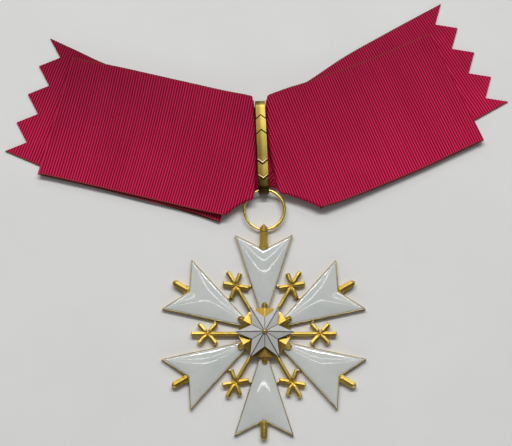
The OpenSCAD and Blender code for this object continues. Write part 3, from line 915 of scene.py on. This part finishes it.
R_FRONT = [
    (-11.0, 71.0,  0.2, 34.2, 3.30, 0.0),
    (-9.0, 71.5,   6.2, 35.8, 3.30, 0.0),
    (-3.5, 73.8,  11.2, 37.4, 3.30, 0.0),
    ( 2.9, 76.3,  17.2, 39.2, 3.25, 0.0),
    ( 8.3, 78.4,  22.6, 41.0, 2.95, 0.0),
    (14.0, 80.4,  28.6, 43.2, 2.45, 0.0),
    (33.8, 87.9,  49.4, 52.1, 2.05, 0.0),
    (44.5, 92.6,  60.6, 57.4, 2.05, 0.0),
    (51.6, 95.8,  67.6, 60.7, 2.05, 0.0)]
R_OUTER = (52.9, 96.3, 68.8, 61.2)
R_MID = [
    (33.8, 87.0, 48.9, 51.8, 1.15, 0.0),
    (14.0, 79.6, 28.4, 43.2, 1.15, 0.0)]
R_INNER = (4.6, 75.4, 18.2, 39.8)
R_REAR = [
    (14.1, 81.2, 30.0, 46.0, 0.30, 0.0),
    (25.7, 89.2, 43.6, 54.6, 0.30, 0.0),
    (37.3, 96.0, 56.0, 62.6, 0.30, 0.0),
    (47.2, 101.6, 67.4, 68.6, 0.30, 0.0)]
R_END = (57.05, 107.05, 77.6, 74.4, 0.30, 0.0)

# edge where the left and right front layers dive beside the loop: y, then x of the edge
L_DIVE = [(36.0, -3.9), (42.1, -3.4), (44.1, -3.05), (48.1, -2.75), (55.4, -2.45), (63.5, -2.55), (70.5, -3.05), (74.0, -3.25), (80.0, -5.2)]
R_DIVE = [(36.0, 5.0), (45.3, 4.5), (48.1, 3.9), (53.0, 3.0), (59.4, 1.7), (67.1, 0.95), (73.7, 0.8), (75.3, 1.2), (80.0, 4.0)]
# line along which the lower corner turns under: x, then y of the line
L_CORNER = [(-30.0, 22.0), (-14.5, 35.2), (-12.9, 36.4), (-9.0, 39.5), (-6.2, 41.2), (-4.5, 41.9), (-3.0, 42.3), (20.0, 44.0)]
R_CORNER = [(-20.0, 52.0), (3.8, 45.0), (5.3, 44.0), (7.5, 43.6), (10.4, 42.65), (14.4, 41.1), (18.2, 39.4), (40.0, 29.0)]
# line under the middle of the loop's band where the two sides meet: y, x
UNDER = [(40.0, 0.3), (45.0, 0.02), (58.7, -0.55), (73.0, -1.15), (80.0, -1.4)]


def interp(table, y):
    if y <= table[0][0]:
        return table[0][1]
    for (y0, x0), (y1, x1) in zip(table, table[1:]):
        if y <= y1:
            return mix(x0, x1, (y - y0) / (y1 - y0))
    return table[-1][1]


def catmull(rows, i, t):
    """Smooth in-between of rows i and i+1."""
    p0, p1, p2, p3 = rows[max(i - 1, 0)], rows[i], rows[i + 1], rows[min(i + 2, len(rows) - 1)]
    out = []
    for a, b, c, d in zip(p0, p1, p2, p3):
        out.append(0.5 * ((2 * b) + (-a + c) * t + (2 * a - 5 * b + 4 * c - d) * t * t + (-a + 3 * b - 3 * c + d) * t ** 3))
    return out


def mid_of(r):
    return ((r[0] + r[2]) / 2, (r[1] + r[3]) / 2)


def dense(rows, step, close=0, close_step=0.4):
    """Rows every step mm or so along the middle, and closer together in the first few spans."""
    out = []
    for i in range(len(rows) - 1):
        a, b = mid_of(rows[i]), mid_of(rows[i + 1])
        n = max(1, int(round(math.hypot(a[0] - b[0], a[1] - b[1]) / (close_step if i < close else step))))
        for k in range(n):
            out.append(catmull(rows, i, k / n))
    out.append(list(rows[-1]))
    return out


def out_dir(r, side):
    ux, uy = r[2] - r[0], r[3] - r[1]
    n = math.hypot(ux, uy)
    return (-uy / n * side, ux / n * side)


def fold(f, z_top, z_low, side, sense, steps=9):
    """Half a turn about a line. sense 1 turns outwards, -1 inwards."""
    o = out_dir(f, side)
    r = (z_top - z_low) / 2
    out = []
    for k in range(1, steps):
        a = math.pi * k / steps
        dx = sense * r * math.sin(a)
        out.append([f[0] + o[0] * dx, f[1] + o[1] * dx, f[2] + o[0] * dx, f[3] + o[1] * dx, (z_top + z_low) / 2 + r * math.cos(a), 0.0])
    return out


# Columns across the ribbon, closer together near the lower edge, where the corner turns under.
# Every eighth of the width has a column, for the teeth.
ACROSS = [i / 32 for i in range(20)] + [0.625 + i / 64 for i in range(8)] + [0.75 + i / 160 for i in range(40)] + [1.0]
NC = len(ACROSS) - 1


def side_grid(side, front, outer, mid, inner, rear, end, dive, diag):
    """Grid of points from the loop outwards to the pinked end, with the place on the flat ribbon."""
    rows = dense([list(r) for r in front] + [list(outer) + [Z_FRONT, 0.0]], 1.1, 6, 0.40)
    n_front = len(rows)
    rows += fold(outer, Z_FRONT, Z_MID, side, 1)
    rows += dense([list(outer) + [Z_MID, 0.0]] + [list(r) for r in mid] + [list(inner) + [Z_MID, 0.0]], 2.2)
    rows += fold(inner, Z_MID, Z_REAR, side, -1)
    rear_rows = dense([list(inner) + [Z_REAR, 0.0]] + [list(r) for r in rear] + [list(end)], 1.5)
    # leave room for the teeth
    o = out_dir(end, side)
    base = [r for r in rear_rows if (end[0] - r[0]) * o[0] + (end[1] - r[1]) * o[1] > TOOTH + 0.4]
    rows += base
    grid, flat = [], []
    s = 0.0
    last = None
    for i, r in enumerate(rows):
        m = (*mid_of(r), r[4])
        if last is not None:
            s += math.dist(m, last)
        last = m
        o = out_dir(r, side)
        prow, frow = [], []
        for j in range(NC + 1):
            f = ACROSS[j]
            bow = 4 * f * (1 - f) * r[5]
            prow.append([r[0] + (r[2] - r[0]) * f - o[0] * bow, r[1] + (r[3] - r[1]) * f - o[1] * bow, r[4]])
            frow.append((s, f * WIDTH))
        grid.append(prow)
        flat.append(frow)
    # teeth: from the last row on, each column runs to its own length
    lastrow, o = grid[-1], out_dir(end, side)
    K = 7
    endpts = []
    for j in range(NC + 1):
        f = ACROSS[j]
        tri = abs(((f * 4) % 1.0) - 0.5) * 2     # 1 at a tip, 0 at a notch
        back = TOOTH * (1 - tri)
        endpts.append((end[0] + (end[2] - end[0]) * f - o[0] * back, end[1] + (end[3] - end[1]) * f - o[1] * back))
    for k in range(1, K + 1):
        prow, frow = [], []
        for j in range(NC + 1):
            p0, p1 = lastrow[j], endpts[j]
            t = k / K
            x, y = mix(p0[0], p1[0], t), mix(p0[1], p1[1], t)
            prow.append([x, y, Z_REAR])
            frow.append((s + math.hypot(x - p0[0], y - p0[1]), ACROSS[j] * WIDTH))
        grid.append(prow)
        flat.append(frow)
    shape_front(grid, n_front, side, dive, diag)
    soften(grid, n_front, side)
    return grid, flat


def shape_front(grid, n_front, side, dive, corner):
    """Turns the lower corner under, then lets the inner part dive beside the loop and pass beneath its band."""
    r2 = 0.85
    for i in range(n_front):
        for p in grid[i]:
            # the lower corner
            r1 = mix(0.24, 0.50, smoothstep(6.5, 10.0, abs(p[0])))
            yb = interp(corner, p[0])
            sl = (interp(corner, p[0] + 1.0) - interp(corner, p[0] - 1.0)) / 2
            c = 1 / math.hypot(1, sl)
            nx, ny = sl * c, -c
            d = (yb - p[1]) * c + r1
            if d > 0:
                if d < math.pi * r1:
                    a = d / r1
                    move = r1 * math.sin(a) - d
                    dz = r1 * (1 - math.cos(a))
                else:
                    move = -(d - math.pi * r1) - d
                    dz = 2 * r1
                p[0] += nx * move
                p[1] += ny * move
                p[2] -= dz
            # the inner edge
            xe = interp(dive, p[1])
            d = (p[0] - xe) * (-side) + r2
            if d > 0:
                deep = p[2] - 1.15
                room = abs(interp(UNDER, p[1]) - (xe + side * r2)) - r2
                if d < math.pi / 2 * r2:
                    a = d / r2
                    nd = r2 * math.sin(a)
                    dz = r2 * (1 - math.cos(a))
                else:
                    e = d - math.pi / 2 * r2
                    drop = max(0.05, deep - r2)
                    dz = r2 + min(e, drop)
                    e = max(0.0, e - drop * 0.8)
                    nd = r2 + room * (1 - math.exp(-e / max(room, 0.2)))
                p[0] = xe + side * r2 + nd * (-side)
                p[2] -= dz
                # inside the loop the cloth is drawn together, between the two ends
                q = smoothstep(1.15, 2.3, d)
                if p[1] > 70.0:
                    p[1] = mix(p[1], 70.0 + 2.5 * (1 - math.exp(-(p[1] - 70.0) / 2.5)), q)
                if p[1] < 47.0:
                    p[1] = mix(p[1], 47.0 - 1.5 * (1 - math.exp(-(47.0 - p[1]) / 1.5)), q)
            # over the ring's wire
            rr = math.hypot(p[0] - 0.15, p[1] - 38.93)
            over = smoothstep(1.5, 0.7, abs(rr - RING_R)) if p[2] > 1.7 else 0.0
            p[2] = mix(p[2], max(p[2], RING_Z + 0.0647 * (p[1] - LUG_Y) + WIRE / 2 + CLOTH / 2 + 0.08), over)
            p[2] = max(p[2], 0.45)


def soften(grid, n_front, side):
    """Slow unevenness of the cloth, small where layers lie on each other."""
    for i, row in enumerate(grid):
        for j, p in enumerate(row):
            w = noise.noise(Vector((p[0] * 0.045 + 7 * side, p[1] * 0.045, 0.3))) * 0.20
            w += noise.noise(Vector((p[0] * 0.13 - 3 * side, p[1] * 0.10, 4.1))) * 0.07
            top = smoothstep(1.6, 2.0, p[2])
            p[2] += w * (0.25 + 0.75 * top) * (1.0 if p[2] > 0.6 else 0.15)
            if p[2] < CLOTH / 2 + 0.02:
                p[2] = CLOTH / 2 + 0.02


def grid_mesh(grid, flat, flip):
    """A cloth of even thickness round the grid's surface, closed at its edges."""
    m, n = len(grid), len(grid[0])
    P = [[Vector(p) for p in row] for row in grid]
    verts_t, verts_b, uv = [], [], []
    for i in range(m):
        for j in range(n):
            du = P[min(i + 1, m - 1)][j] - P[max(i - 1, 0)][j]
            dv = P[i][min(j + 1, n - 1)] - P[i][max(j - 1, 0)]
            nr = du.cross(dv)
            if nr.length < 1e-9:
                nr = Vector((0, 0, 1))
            nr.normalize()
            if flip:
                nr = -nr
            verts_t.append(P[i][j] + nr * CLOTH / 2)
            verts_b.append(P[i][j] - nr * CLOTH / 2)
            uv.append(flat[i][j])
    b = m * n
    verts = [tuple(v) for v in verts_t + verts_b]
    faces = []
    for i in range(m - 1):
        for j in range(n - 1):
            q = (i * n + j, (i + 1) * n + j, (i + 1) * n + j + 1, i * n + j + 1)
            faces.append(q if not flip else q[::-1])
            q = tuple(b + k for k in q)
            faces.append(q[::-1] if not flip else q)
    border = [j for j in range(n)] + [i * n + n - 1 for i in range(1, m)] + \
             [(m - 1) * n + j for j in range(n - 2, -1, -1)] + [i * n for i in range(m - 2, 0, -1)]
    L = len(border)
    for i in range(L):
        a, c = border[i], border[(i + 1) % L]
        q = (a, c, b + c, b + a)
        faces.append(q if not flip else q[::-1])
    return verts, faces, uv + uv


left = side_grid(-1, L_FRONT, L_OUTER, L_MID, L_INNER, L_REAR, L_END, L_DIVE, L_CORNER)
right = side_grid(1, R_FRONT, R_OUTER, R_MID, R_INNER, R_REAR, R_END, R_DIVE, R_CORNER)


all_v, all_f, all_uv = [], [], []
for (g, fl), flip, shift in ((left, False, 0.0), (right, True, 400.0)):
    v, f, uv = grid_mesh(g, fl, flip)
    b = len(all_v)
    all_v += v
    all_f += [tuple(b + i for i in q) for q in f]
    all_uv += [(a + shift, c) for a, c in uv]
cloth = new_object("neck_ribbon", all_v, all_f, [crimson], smooth=True)
layer = cloth.data.uv_layers.new(name="flat_cm")
for lp in cloth.data.loops:
    a, c = all_uv[lp.vertex_index]
    layer.data[lp.index].uv = (a / 10.0, c / 10.0)
smooth_by_angle(cloth, 60)
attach(cloth, "root")
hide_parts("ribbon")
length = left[1][-1][0][0] + right[1][-1][0][0] + 10.0

# ---------------------------------------------------------------- floor and light
bpy.ops.mesh.primitive_plane_add(size=6, location=(0, 0, -0.00002))
floor = bpy.context.object
floor.name = "floor"
floor.data.materials.append(floor_material())

world = bpy.data.worlds.new("studio")
world.use_nodes = True
scene.world = world
wn = world.node_tree
bg = wn.nodes["Background"]
bg.inputs["Color"].default_value = (0.92, 0.95, 1.0, 1)
bg.inputs["Strength"].default_value = 0.10


def area_light(name, direction, dist, size, size_y, power, color=(1, 1, 1)):
    """A softbox that faces the badge. direction is azimuth from +X and elevation, in degrees."""
    d = bpy.data.lights.new(name, "AREA")
    d.shape = "RECTANGLE"
    d.size, d.size_y = size, size_y
    d.energy = power
    d.color = color
    ob = bpy.data.objects.new(name, d)
    scene.collection.objects.link(ob)
    az, el = direction[0] * D2R, direction[1] * D2R
    v = Vector((math.cos(el) * math.cos(az), math.cos(el) * math.sin(az), math.sin(el)))
    target = Vector((0, 0.01, 0))
    ob.location = target + v * dist
    ob.rotation_euler = v.to_track_quat("Z", "Y").to_euler()
    return ob


GAIN = 1.34


def strip(name, side, theta, dist, span, thick, radiance, color=(1, 1, 1)):
    """A long lamp across the scene. theta is measured from straight up, span and thick are the
    angles that it covers, all in degrees."""
    size = 2 * dist * math.tan(span * D2R / 2)
    size_y = 2 * dist * math.tan(thick * D2R / 2)
    area_light(name, (90 * side, 90 - theta), dist, size, size_y, math.pi * size * size_y * radiance * GAIN, color)


# The photograph's lamps are long and narrow and lie across, beyond the top of the badge.
strip("lamp_main", 1, 31.5, 1.8, 56, 2.3, 38.0)
strip("lamp_second", 1, 20.0, 1.8, 40, 1.5, 6.0)
strip("lamp_over", 1, 10.2, 1.8, 28, 1.0, 7.5)
strip("soft_back", 1, 54.0, 1.8, 76, 17.0, 0.9, (1.0, 0.99, 0.97))
strip("soft_front", -1, 70.0, 1.8, 76, 16.0, 0.8, (0.97, 0.98, 1.0))

scene.view_settings.view_transform = "Standard"
scene.view_settings.look = "None"
